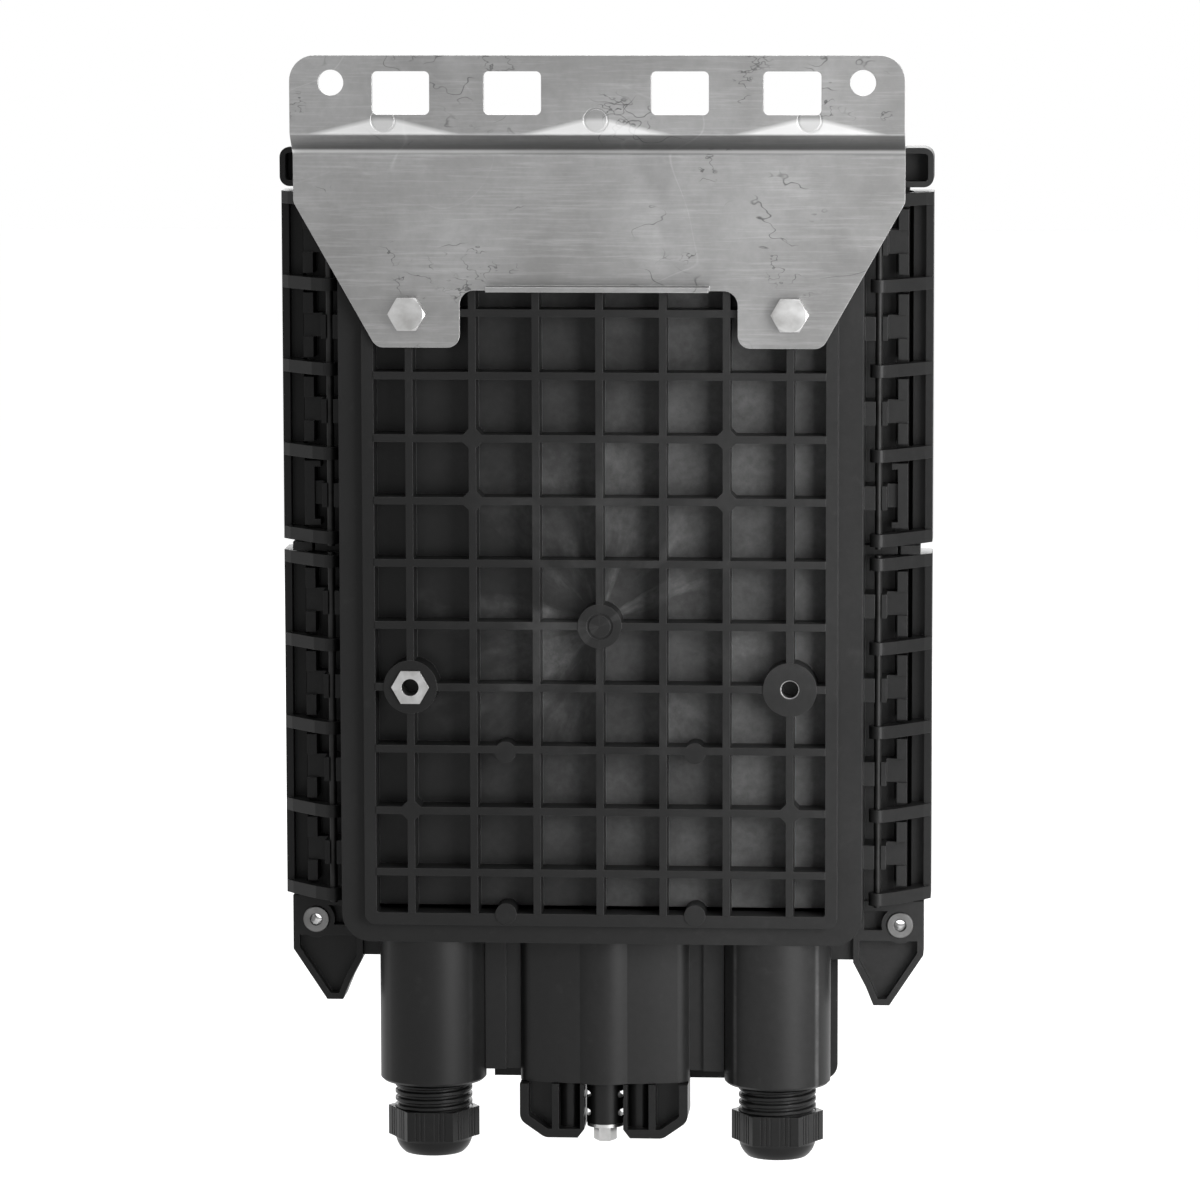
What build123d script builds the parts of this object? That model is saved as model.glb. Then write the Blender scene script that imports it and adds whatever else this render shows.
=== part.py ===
from build123d import *
import os
from math import hypot

# Fibre optic splice closure on a wall bracket. Millimetres.
# X points to the right seen from the front, Y points to the wall, Z points up.
# The origin lies midway between the bracket's two wall holes, on the wall.
# A depth is a distance forward of the wall, so depth d lies at Y = -d.

os.makedirs("parts", exist_ok=True)

# Clearances
hair = 0.05
running = 0.1
gap = 0.3

# Bracket
sheet = 2.0
bracket_width = 239.4
bracket_rise = 10.6
bracket_corner = 10.0
bend_inner = 2.0
joggle = 10.0
joggle_start = 20.0
joggle_height = 8.5
wall_hole_spacing = 207.0
wall_hole_dia = 10.0
slot_width = 22.4
slot_height = 16.8
slot_corner = 2.0
slot_inner_x = 32.6
slot_outer_x = 76.2
slot_drop = 4.0
punch_dia = 10.0
punch_depth = 0.3
punch_spacing = 83.0
punch_drop = 14.5
slant_start = 47.0
leg_width = 33.0
leg_below_bolts = 13.4
leg_corner = 5.0
notch_drop = 81.5
notch_fillet = 5.6
lip_width = 87.0
lip_length = 9.5

# Bolts and inserts
bolt_drop = 90.6
bolt_hole_dia = 9.0
bolt_head_flats = 13.0
bolt_head_height = 5.3
bolt_head_round = 1.2
bolt_end_room = 0.5
insert_flats = 13.0
insert_depth = 12.0
insert_proud = 1.2
insert_sunk = 1.5
collar_hole_dia = 7.6
insert_hole_dia = 6.8
boss_dia = 21.3

# Grid on the back of the base
rib_pitch_x = 25.0
rib_pitch_z = 24.7
rib = 3.0
columns = 6
rows_above_bolts = 1
rows_between_bosses = 6
rib_depth = 12.5
floor_rear = 25.0
floor_thickness = 3.0
border_depth = 13.0
border_width = 4.8
border_corner = 4.0
gate_dia = 17.5
gate_ring_dia = 10.5
pad_across = 7.4
ejector_dia = 8.4

# Base frame
wall = 3.0
frame_width = 206.8
frame_height = 301.4
frame_above_bolts = 50.2
frame_corner = 11.5
ledge_depth = 17.0
ledge_width = 9.6
ledge_narrower = 2.0
seal_depth = 62.0

# Flange
flange_side = 17.0
flange_end = 12.8
flange_thickness = 5.0
flange_corner = 6.0
groove_zone = 8.0
groove_zone_side = 12.0
groove_offset = 5.8
groove_width = 5.0
groove_depth = 3.0
gasket_clearance = 0.1
shoulder_height = 15.6
shoulder_reach = 26.6
shoulder_thickness = 12.0
thin_wall = 2.3

# Ears at the flange's lower corners
ear_reach = 23.8
ear_boss_out = 14.4
ear_boss_rise = 15.4
ear_boss_dia = 15.0
ear_side_rise = 3.2
ear_drop = 17.4
ear_neck = 10.0
ear_top_gap = 0.8
ear_foot_out = 10.2
ear_foot_in = 3.8
ear_thickness = 11.0
ear_wall = 2.5
ear_pocket_drop = 6.5
ear_window_height = 7.9
ear_window_rise = 1.75
bushing_dia = 10.7
bushing_hole_dia = 4.4
bushing_proud = 0.8

# Latches and their hinge rods
latch_gap = 4.5
latch_end_gap = 2.0
latch_foot_room = 25.9
arm_height = 5.0
windows = 4
rod_dia = 3.0
rod_out = 5.6
rod_back = 24.0
knuckle_dia = 7.0
cradle_height = 9.5
cradle_back = 25.4
cradle_wall = 3.4
block_height = 8.2
block_back = 16.5
block_width = 4.0
clip_hook = 2.4
stop_lug_back = 16.0
latch_reach = 26.6
latch_rear_back = 7.0
latch_front_reach = 10.2
latch_skin = 3.0
latch_web_reach = 18.6
latch_web_back = 4.0
latch_web = 2.0
lip_reach = 5.0
lip_rise = 7.0
lip_edge = 1.0
lip_land = 3.4
toe_clearance = 0.3

# Cover
cover_clearance = 0.25
cover_flange = 6.0
cover_depth = 122.0
cover_front_wall = 3.2
cover_taper = 2.0
cover_edge = 8.0
cover_rib = 2.4
cover_rib_height = 1.4
cover_rib_pitch = 24.0
cover_ribs = 7
cover_rib_inset = 30.0
gusset = 2.5
apron_thickness = 3.0
apron_inset = 10.9
apron_drop = 50.2
apron_corner = 6.0
apron_cut_rise = 14.0
apron_cut_room = 1.2
apron_leg = 5.5

# Round ports and glands
port_inset = 34.2
port_front_room = 2.25
port_length = 59.2
tube_dia = 42.5
tube_bore_dia = 35.5
tube_end_thickness = 14.0
tube_chamfer = 1.0
gland_thread_dia = 31.0
gland_bore_dia = 21.0
gland_flange = 3.0
gland_flange_dia = 34.6
gland_drop = 16.0
seal_bore_dia = 26.4
seal_height = 14.0
seal_hole_dia = 17.0
nut_flats = 31.8
nut_hex_height = 11.8
nut_gap = 11.5
nut_dome_height = 6.4
nut_dome_end_dia = 24.0
cable_entry_dia = 19.0
ring_thickness = 2.4
grip_ribs = 7
grip_pitch = 1.9

# Oval port
oval_half_width = 34.0
oval_half_depth = 9.5
oval_end_radius = 6.0
oval_boss_half_width = 15.6
oval_boss_half_depth = 12.2
oval_wall = 2.2
web_width = 8.3
web_back = 3.5
web_rise = 4.4
plate_height = 21.8
plate_inset = 0.3
plate_corner_width = 10.0
plate_corner_height = 7.0
plate_corner_round = 5.0
plate_side = 3.5
plate_spigot = 9.0
plate_web = 3.0
plate_rib = 2.8
plate_rib_x = 19.4
plate_core_dia = 15.0
plate_core_gap = 0.3
plate_core_wall = 1.7
plate_core_rise = 4.6
core_hole_dia = 2.8
core_hole_drop = 9.1
core_hole_pitch = 7.4
oval_bolt_dia = 5.0
oval_bolt_flats = 8.0
oval_bolt_head = 6.0
washer_dia = 14.6
washer_thickness = 1.4
oval_seal_height = 26.0
oval_inner_thickness = 5.0
oval_nut_flats = 8.0
oval_nut_height = 5.0
plug_dia = 5.6
plug_x = 13.9
plug_guide_wall = 2.0

# Splice trays and what carries them
carrier_lift = 12.0
carrier_slot_length = 34.0
carrier_slot_width = 14.0
carrier_thickness = 2.0
carrier_side_room = 28.4
carrier_top_room = 23.6
carrier_foot_room = 41.8
carrier_corner = 8.0
post_dia = 9.0
post_inset = 15.0
post_end_inset = 14.0
post_screw_dia = 3.0
tray_count = 4
tray_inset = 6.0
tray_foot_room = 42.0
tray_corner = 22.0
tray_deep = 9.0
tray_pitch = 11.0
tray_skin = 1.6
tray_lift = 4.0
tray_tab = 7.0
holder_width = 46.0
holder_height = 34.0
holder_slots = 6
holder_deep = 5.0
spool_dia = 54.0
spool_skin = 1.8
hinge_pin_dia = 3.6
hinge_arm = 6.0
hinge_arm_width = 5.0
hinge_thickness = 4.0
hinge_inset = 19.0
lid_thickness = 1.6
strap_width = 16.0
strap_thickness = 1.0
strap_drop = 26.0
clamp_width = 16.0
clamp_height = 12.0
clamp_sheet = 1.6
clamp_rise = 16.0
clamp_screw_dia = 4.0

# Worked out from the sizes above
half_frame = frame_width / 2
frame_top = frame_above_bolts - bolt_drop
frame_bottom = frame_top - frame_height
frame_centre = frame_top - frame_height / 2
bolt_x = columns * rib_pitch_x / 2
bolt_z = -bolt_drop
lower_boss_z = bolt_z - rows_between_bosses * rib_pitch_z
boss_points = [(side * bolt_x, z) for z in (bolt_z, lower_boss_z) for side in (-1, 1)]
boss_rear = joggle + sheet
floor_front = floor_rear + floor_thickness
flange_rear = seal_depth - flange_thickness
flange_half = half_frame + flange_side
flange_top = frame_top + flange_end
flange_bottom = frame_bottom - flange_end
latch_top = flange_top - shoulder_height - latch_end_gap
latch_length = (latch_top - flange_bottom - latch_gap - latch_foot_room) / 2
latch_starts = [latch_top - latch_length, latch_top - 2 * latch_length - latch_gap]
window_pitch = (latch_length - arm_height) / windows
rod_radius = rod_dia / 2
rod_x = half_frame + rod_out
rod_depth = seal_depth - rod_back
latch_out = half_frame + latch_reach
latch_rear = seal_depth - latch_rear_back
latch_front = seal_depth + latch_front_reach
cover_rear = seal_depth + cover_clearance
port_depth = seal_depth - port_front_room - tube_dia / 2
port_x = half_frame - port_inset
port_bottom = frame_bottom - port_length
carrier_depth = floor_front + carrier_lift
carrier_front = carrier_depth + carrier_thickness
carrier_width = frame_width - 2 * carrier_side_room
carrier_height = frame_height - carrier_top_room - carrier_foot_room
carrier_centre = frame_top - carrier_top_room - carrier_height / 2
tray_start = carrier_front + tray_lift
tray_width = carrier_width - 2 * tray_inset
tray_height = carrier_height - tray_inset - tray_foot_room
tray_top = carrier_centre + carrier_height / 2 - tray_inset
hinge_x = tray_width / 2 - hinge_inset
port_points = [(-port_x, -port_depth), (port_x, -port_depth)]
SIDES = {"left": -1, "right": 1}


def at(depth):
    """A plane facing forward at a depth, with X across and Z up."""
    return Plane.XZ.offset(depth)


def level(z):
    """A plane facing up at a height, with X across and Y towards the wall."""
    return Plane.XY.offset(z)


def across(x):
    """A plane facing right at an x, with Y across and Z up."""
    return Plane.YZ.offset(x)


def finish(part, name):
    part.label = name
    export_step(part, f"parts/{name}.step")


def mirrored(points, side):
    """Points given for the right side, for either side."""
    return [(side * x, y) for x, y in points]


# Wall bracket: one sheet, joggled so that it stands off the wall above the bolts
joggle_end = joggle_start + joggle_height
leg_drop = bolt_drop + leg_below_bolts
leg_out = bolt_x + leg_width / 2 - 4
leg_in = leg_out - leg_width
with BuildPart() as bracket:
    with BuildSketch(across(-bracket_width / 2)):
        with BuildLine():
            FilletPolyline(
                (0, bracket_rise), (0, -joggle_start), (-joggle, -joggle_end), (-joggle, -leg_drop),
                radius=bend_inner,
            )
            offset(amount=sheet, side=Side.RIGHT)
        make_face()
    extrude(amount=bracket_width)
    with BuildSketch(at(-1)):
        with BuildLine():
            FilletPolyline(
                (-bracket_width / 2, bracket_rise), (bracket_width / 2, bracket_rise),
                (bracket_width / 2, -slant_start), (leg_out, -leg_drop), (leg_in, -leg_drop),
                (leg_in, -notch_drop), (-leg_in, -notch_drop), (-leg_in, -leg_drop),
                (-leg_out, -leg_drop), (-bracket_width / 2, -slant_start),
                radius=[
                    bracket_corner, bracket_corner, leg_corner, leg_corner, leg_corner,
                    notch_fillet, notch_fillet, leg_corner, leg_corner, leg_corner,
                ],
                close=True,
            )
        make_face()
    extrude(amount=joggle + sheet + 2, mode=Mode.INTERSECT)
    with BuildSketch(at(joggle - lip_length)):
        with Locations((0, -notch_drop + sheet / 2)):
            Rectangle(lip_width, sheet)
    extrude(amount=lip_length + sheet)
    with BuildSketch(at(-1)):
        with GridLocations(wall_hole_spacing, 1, 2, 1):
            Circle(wall_hole_dia / 2)
        for x in (slot_inner_x, slot_outer_x):
            with Locations((x, -slot_drop), (-x, -slot_drop)):
                RectangleRounded(slot_width, slot_height, slot_corner)
        with Locations((-bolt_x, bolt_z), (bolt_x, bolt_z)):
            Circle(bolt_hole_dia / 2)
    extrude(amount=joggle + sheet + 2, mode=Mode.SUBTRACT)
    with BuildSketch(at(0)):
        for x in (-punch_spacing, 0, punch_spacing):
            with Locations((x, -punch_drop)):
                Circle(punch_dia / 2)
                Circle(punch_dia / 2 - 0.8, mode=Mode.SUBTRACT)
    extrude(amount=punch_depth, mode=Mode.SUBTRACT)
finish(bracket.part, "mounting_bracket")

# Bracket bolts: hexagon heads on the wall side, shanks in the upper inserts
head_end = bolt_head_height - joggle
for word, side in SIDES.items():
    with BuildPart() as bolt:
        with BuildSketch(at(joggle)):
            with Locations((side * bolt_x, bolt_z)):
                RegularPolygon(bolt_head_flats / 2, 6, major_radius=False)
        extrude(amount=-bolt_head_height)
        with BuildSketch(Plane((side * bolt_x, 0, bolt_z), x_dir=(1, 0, 0), z_dir=(0, 0, 1))):
            with BuildLine():
                Polyline(
                    (0, -joggle), (bolt_head_flats, -joggle), (bolt_head_flats, head_end - 3 * bolt_head_round),
                    (bolt_head_flats / 2, head_end), (0, head_end), close=True,
                )
            make_face()
        revolve(axis=Axis((side * bolt_x, 0, bolt_z), (0, 1, 0)), mode=Mode.INTERSECT)
        with BuildSketch(at(joggle)):
            with Locations((side * bolt_x, bolt_z)):
                Circle(insert_hole_dia / 2 - hair)
        extrude(amount=sheet + insert_depth - bolt_end_room)
    finish(bolt.part, f"bracket_bolt_{word}")

# Threaded inserts: hexagon bars moulded into the four bosses
insert_nodes = ["upper_left", "upper_right", "lower_left", "lower_right"]
for word, (x, z) in zip(insert_nodes, boss_points):
    proud = {"lower_right": insert_proud, "lower_left": -insert_sunk}.get(word, 0)
    with BuildPart() as insert:
        with BuildSketch(at(boss_rear - proud)):
            with Locations((x, z)):
                RegularPolygon(insert_flats / 2, 6, major_radius=False)
                Circle(insert_hole_dia / 2, mode=Mode.SUBTRACT)
        extrude(amount=insert_depth + proud)
    finish(insert.part, f"threaded_insert_{word}")

# Base shell
column_x = [(i - columns / 2) * rib_pitch_x for i in range(columns + 1)]
border_half = half_frame - ledge_width
border_height = frame_height - 2 * ledge_width + 2 * ledge_narrower
grid_half = border_half - border_width
grid_height = border_height - 2 * border_width
first_row = bolt_z + rows_above_bolts * rib_pitch_z
rows = int((first_row - frame_centre + grid_height / 2) / rib_pitch_z)
row_z = [first_row - i * rib_pitch_z for i in range(rows + 1)]
ear_top = latch_starts[-1] - ear_top_gap
ear_boss_x = half_frame + ear_boss_out
ear_boss_z = flange_bottom + ear_boss_rise
ear_outline = [
    (half_frame - 4.4, ear_top), (half_frame + ear_reach, ear_top),
    (half_frame + ear_reach, flange_bottom + ear_side_rise),
    (half_frame + ear_foot_out, flange_bottom - ear_drop), (half_frame + ear_foot_in, flange_bottom - ear_drop),
    (half_frame + ear_foot_in - 3, flange_bottom - ear_neck), (half_frame - 4.4, flange_bottom),
]
ear_points = [(side * ear_boss_x, ear_boss_z) for side in SIDES.values()]
shoulder_z = flange_top - shoulder_height / 2
cradle_rear = seal_depth - cradle_back
block_depth = seal_depth - block_back
stop_lug_depth = seal_depth - stop_lug_back
block_foot = flange_rear + 0.5
cradle_outline = [
    (half_frame - 1, -cradle_rear - 2), (half_frame, -cradle_rear), (rod_x + cradle_wall, -cradle_rear),
    (rod_x + cradle_wall, -block_depth - 2), (flange_half, -block_depth - 2), (flange_half, -block_foot),
    (half_frame - 1, -block_foot),
]


def ring(outer_width, outer_height, corner, width):
    """A band of even width round the frame's centre."""
    with Locations((0, frame_centre)):
        RectangleRounded(outer_width, outer_height, corner)
        RectangleRounded(
            outer_width - 2 * width, outer_height - 2 * width, max(corner - width, 1), mode=Mode.SUBTRACT
        )


def oval(shrink):
    """The oval port's section, drawn smaller by an amount all round: four tangent arcs and a round boss."""
    end_x = oval_half_width - oval_end_radius
    flatter = oval_half_depth - oval_end_radius
    side_radius = (end_x**2 + oval_half_depth**2 - oval_end_radius**2) / (2 * flatter)
    reach = (side_radius - shrink) / (side_radius - oval_end_radius)
    meet_x = end_x * reach
    meet_y = oval_half_depth - side_radius + (side_radius - oval_half_depth) * reach
    half_width = oval_half_width - shrink
    half_depth = oval_half_depth - shrink
    boss_width = oval_boss_half_width - shrink
    boss_depth = oval_boss_half_depth - shrink
    middle = Vector(0, -port_depth)
    with BuildLine() as sides:
        for end in (-1, 1):
            ThreePointArc(
                middle + (-meet_x, end * meet_y), middle + (0, end * half_depth), middle + (meet_x, end * meet_y)
            )
            ThreePointArc(
                middle + (end * meet_x, -meet_y), middle + (end * half_width, 0), middle + (end * meet_x, meet_y)
            )
    make_face(sides.edges())
    with BuildLine() as boss:
        for end in (-1, 1):
            ThreePointArc(middle - (boss_width, 0), middle + (0, end * boss_depth), middle + (boss_width, 0))
    make_face(boss.edges())


def flange_outline():
    with Locations((0, (flange_top + flange_bottom) / 2)):
        RectangleRounded(2 * flange_half, flange_top - flange_bottom, flange_corner)
    for side in SIDES.values():
        Polygon(*mirrored(ear_outline, side), align=None)
        with Locations((side * (half_frame + shoulder_reach - 10), shoulder_z)):
            RectangleRounded(20, shoulder_height, 4)


with BuildPart() as base:
    with BuildSketch(at(ledge_depth)):
        with Locations((0, frame_centre)):
            RectangleRounded(frame_width, frame_height, frame_corner)
    extrude(amount=seal_depth - ledge_depth)
    with BuildSketch(at(flange_rear)):
        flange_outline()
    extrude(amount=flange_thickness)
    with BuildSketch(at(seal_depth - groove_zone)):
        with Locations((0, frame_centre)):
            RectangleRounded(
                frame_width + 2 * groove_zone_side, frame_height + 2 * groove_zone_side, flange_corner
            )
    extrude(amount=groove_zone)
    # port tubes and the oval port hang from the bottom wall
    with BuildSketch(level(port_bottom)):
        with Locations(*port_points):
            Circle(tube_dia / 2)
    extrude(amount=port_length + flange_end)
    chamfer(base.edges().group_by(Axis.Z)[0], tube_chamfer)
    with BuildSketch(level(port_bottom)):
        oval(0)
    extrude(amount=port_length + flange_end)
    web_y = -port_depth + (web_back - rib / 2) / 2
    with BuildSketch(level(port_bottom + web_rise)):
        for side in SIDES.values():
            with Locations((side * (port_x - (tube_dia + web_width) / 2 + hair), web_y)):
                Rectangle(web_width, web_back + rib / 2)
            with Locations((side * (port_x - tube_dia / 2 - web_width), -port_depth)):
                Rectangle(2 * web_width, rib)
    extrude(amount=port_length - web_rise + 1)
    # inside of the frame, and the hollow behind the ledge
    with BuildSketch(at(floor_front)):
        with Locations((0, frame_centre)):
            RectangleRounded(frame_width - 2 * wall, frame_height - 2 * wall, frame_corner - wall)
    extrude(amount=seal_depth - floor_front, mode=Mode.SUBTRACT)
    with BuildSketch(at(ledge_depth + wall)):
        ring(frame_width - 2 * wall, frame_height - 2 * wall, frame_corner - wall, ledge_width + 1.2)
    extrude(amount=floor_front - ledge_depth - wall, mode=Mode.SUBTRACT)
    # shoulders above the latches, open to the rear
    shoulder_points = [(side * (half_frame + shoulder_reach - 7), shoulder_z) for side in SIDES.values()]
    with BuildSketch(at(seal_depth - shoulder_thickness)):
        with Locations(*shoulder_points):
            RectangleRounded(14, shoulder_height, 4)
    extrude(amount=shoulder_thickness)
    with BuildSketch(at(seal_depth - shoulder_thickness)):
        with Locations(*shoulder_points):
            RectangleRounded(14 - 2 * thin_wall, shoulder_height - 2 * thin_wall, 1.5)
    extrude(amount=shoulder_thickness - thin_wall, mode=Mode.SUBTRACT)
    # ears: a window beside the bushing's boss and a pocket below it, both open to the rear
    with BuildSketch(at(seal_depth - ear_thickness)):
        for side in SIDES.values():
            Polygon(*mirrored(ear_outline, side), align=None)
    extrude(amount=ear_thickness)
    with BuildSketch(at(seal_depth - ear_thickness)):
        for side in SIDES.values():
            Polygon(*mirrored(ear_outline, side), align=None)
        offset(amount=-ear_wall, kind=Kind.INTERSECTION)
        with Locations((0, ear_boss_z - ear_pocket_drop + frame_height / 2)):
            Rectangle(2 * latch_out, frame_height, mode=Mode.SUBTRACT)
        with Locations((0, ear_boss_z + ear_window_rise)):
            Rectangle(2 * ear_boss_x, ear_window_height)
            Rectangle(2 * half_frame, ear_window_height, mode=Mode.SUBTRACT)
        with Locations(*ear_points):
            Circle(ear_boss_dia / 2, mode=Mode.SUBTRACT)
    extrude(amount=ear_thickness - ear_wall - groove_depth, mode=Mode.SUBTRACT)
    with BuildSketch(at(0)):
        with Locations(*ear_points):
            Circle(bushing_dia / 2)
    extrude(amount=seal_depth, mode=Mode.SUBTRACT)
    # hinge cradles and the toothed blocks beside them
    window_mids = [
        start + arm_height / 2 + (i + 0.5) * window_pitch for start in latch_starts for i in range(windows)
    ]
    with BuildSketch(*[level(mid - cradle_height / 2) for mid in window_mids]):
        for side in SIDES.values():
            Polygon(*mirrored(cradle_outline, side), align=None)
        with Locations((-rod_x, -rod_depth), (rod_x, -rod_depth)):
            Circle(rod_radius + hair, mode=Mode.SUBTRACT)
        with Locations((-rod_x, -rod_depth + 2), (rod_x, -rod_depth + 2)):
            Rectangle(rod_dia - 0.4, 4, mode=Mode.SUBTRACT)
    extrude(amount=cradle_height)
    with BuildSketch(at(block_depth)):
        for mid in window_mids:
            with Locations((0, mid)):
                with GridLocations(2 * flange_half - block_width, cradle_height + block_height, 2, 2):
                    Rectangle(block_width, block_height)
        # the lowest window of each upper latch has one long clip instead
        with Locations((0, window_mids[0])):
            with GridLocations(2 * flange_half - block_width, 1, 2, 1):
                Rectangle(block_width, cradle_height + 2 * block_height)
            with GridLocations(
                2 * (flange_half - block_width) - clip_hook, cradle_height + 2 * block_height - clip_hook, 2, 2
            ):
                Rectangle(clip_hook, clip_hook)
    extrude(amount=block_foot - block_depth)
    # stop lugs between the upper and the lower latches
    with BuildSketch(at(stop_lug_depth)):
        for side in SIDES.values():
            with Locations((side * (half_frame + 11), latch_starts[0] - latch_gap / 2)):
                Rectangle(22, latch_gap - 2 * gap - 0.4)
            with Locations((side * (rod_x + 8), latch_starts[0] - latch_gap / 2)):
                Rectangle(1.2, latch_gap, mode=Mode.SUBTRACT)
    extrude(amount=block_foot - stop_lug_depth)
    # gasket groove
    with BuildSketch(at(seal_depth - groove_depth)):
        ring(
            frame_width + 2 * groove_offset + groove_width, frame_height + 2 * groove_offset + groove_width,
            frame_corner + groove_offset, groove_width,
        )
    extrude(amount=groove_depth, mode=Mode.SUBTRACT)
    # bores of the ports
    with BuildSketch(level(port_bottom + tube_end_thickness)):
        with Locations(*port_points):
            Circle(tube_bore_dia / 2)
    extrude(amount=port_length - tube_end_thickness + wall, mode=Mode.SUBTRACT)
    with BuildSketch(level(port_bottom - 1)):
        with Locations(*port_points):
            Circle(gland_thread_dia / 2 + hair)
    extrude(amount=tube_end_thickness + 2, mode=Mode.SUBTRACT)
    with BuildSketch(level(port_bottom - 1)):
        oval(oval_wall)
    extrude(amount=port_length + wall + 1.01, mode=Mode.SUBTRACT)
    # posts for the tray carrier
    post_points = [
        (side * (carrier_width / 2 - post_inset), carrier_centre + end * (carrier_height / 2 - post_end_inset))
        for side in (-1, 1) for end in (-1, 1)
    ]
    with BuildSketch(at(floor_front - 1)):
        with Locations(*post_points):
            Circle(post_dia / 2)
    extrude(amount=carrier_depth - floor_front + 1)
    with BuildSketch(at(floor_front)):
        with Locations(*post_points):
            Circle(post_screw_dia / 2 - hair)
    extrude(amount=carrier_depth - floor_front, mode=Mode.SUBTRACT)
    # raised border, then the hollow that the ribs stand in
    with BuildSketch(at(border_depth)):
        with Locations((0, frame_centre)):
            RectangleRounded(2 * border_half, border_height, border_corner)
    extrude(amount=floor_rear - border_depth)
    with BuildSketch(at(0)):
        with Locations((0, frame_centre)):
            RectangleRounded(2 * grid_half, grid_height, 1.0)
    extrude(amount=floor_rear, mode=Mode.SUBTRACT)
    with BuildSketch(at(rib_depth)):
        for x in column_x:
            with Locations((x, frame_centre)):
                Rectangle(rib, grid_height)
        for z in row_z:
            with Locations((0, z)):
                Rectangle(2 * grid_half, rib)
        for column, row in ((1, 3), (1, 4), (5, 3), (5, 4), (0, 9), (6, 9)):
            with Locations((column_x[column], row_z[row])):
                RegularPolygon(pad_across / 2, 8, major_radius=False, rotation=22.5)
        for x in (column_x[1] + rib_pitch_x / 2, column_x[4] + rib_pitch_x / 2):
            with Locations((x, row_z[8] - 1), (x, frame_centre - grid_height / 2)):
                Circle(ejector_dia / 2)
    extrude(amount=floor_front - rib_depth)
    with BuildSketch(at(rib_depth - 0.3)):
        with Locations((0, row_z[6])):
            Circle(gate_dia / 2)
    extrude(amount=floor_front - rib_depth)
    with BuildSketch(at(rib_depth - 0.3)):
        with Locations((0, row_z[6])):
            Circle(gate_ring_dia / 2)
            Circle(gate_ring_dia / 2 - 1, mode=Mode.SUBTRACT)
    extrude(amount=0.6, mode=Mode.SUBTRACT)
    # bosses round the threaded inserts
    with BuildSketch(at(boss_rear)):
        with Locations(*boss_points):
            Circle(boss_dia / 2)
    extrude(amount=floor_front - boss_rear)
    # pockets for the inserts; the lower left one sits behind a plastic collar
    with BuildSketch(at(boss_rear)):
        with Locations(*boss_points):
            RegularPolygon(insert_flats / 2, 6, major_radius=False)
    extrude(amount=insert_depth, mode=Mode.SUBTRACT)
    with BuildSketch(at(boss_rear)):
        with Locations((-bolt_x, lower_boss_z)):
            Circle(boss_dia / 2)
            Circle(collar_hole_dia / 2, mode=Mode.SUBTRACT)
    extrude(amount=insert_sunk)
finish(base.part, "base_shell")

# Threaded metal bushings in the ears
for word, (x, z) in zip(SIDES, ear_points):
    with BuildPart() as bushing:
        with BuildSketch(at(seal_depth - ear_thickness - bushing_proud)):
            with Locations((x, z)):
                Circle(bushing_dia / 2)
                Circle(bushing_hole_dia / 2, mode=Mode.SUBTRACT)
        extrude(amount=ear_thickness + bushing_proud)
        chamfer(bushing.edges().group_by(Axis.Y)[-1], 0.4)
    finish(bushing.part, f"ear_bushing_{word}")

# Gasket between base and cover
with BuildPart() as gasket:
    with BuildSketch(at(seal_depth - groove_depth)):
        ring(
            frame_width + 2 * groove_offset + groove_width - 2 * gasket_clearance,
            frame_height + 2 * groove_offset + groove_width - 2 * gasket_clearance,
            frame_corner + groove_offset, groove_width - 2 * gasket_clearance,
        )
    extrude(amount=groove_depth + gasket_clearance)
finish(gasket.part, "cover_gasket")

# Latches: a hooked strip with five arms that turn on a steel rod
lip_foot = (flange_half, -cover_rear - lip_edge)
lip_top = (flange_half - lip_reach, lip_foot[1] - lip_rise)
lip_slope = hypot(lip_reach, lip_rise)
toe_shift = (toe_clearance * lip_rise / lip_slope, -toe_clearance * lip_reach / lip_slope)
toe_foot = (lip_foot[0] + toe_shift[0] + gap, lip_foot[1] + toe_shift[1] + gap * lip_rise / lip_reach)
toe_tip = (lip_top[0] + toe_shift[0], lip_top[1] + toe_shift[1])
latch_in = latch_out - latch_skin
latch_web_in = half_frame + latch_web_reach
latch_panel = seal_depth - latch_web_back + latch_web
strip_outline = [
    (latch_out, -latch_rear), (latch_out, 2.0 - latch_front), (latch_out - 2.0, -latch_front),
    (toe_tip[0] + 1.0, -latch_front), toe_tip, toe_foot, (latch_web_in, -latch_panel),
    (latch_in, -latch_panel), (latch_in, -latch_rear),
]
arm_outline = [
    (rod_x + 2.4, 2.6 - rod_depth), (rod_x + 7.5, -rod_depth - 1.5), (latch_in, 4.0 - latch_rear),
    (latch_out, -latch_rear), (latch_out, -latch_panel), (latch_web_in, -latch_panel),
    (latch_web_in, 1.0 - latch_rear), (flange_half - 1.0, 4.4 - latch_rear), (rod_x + 1.8, -rod_depth - 3.0),
]
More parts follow.
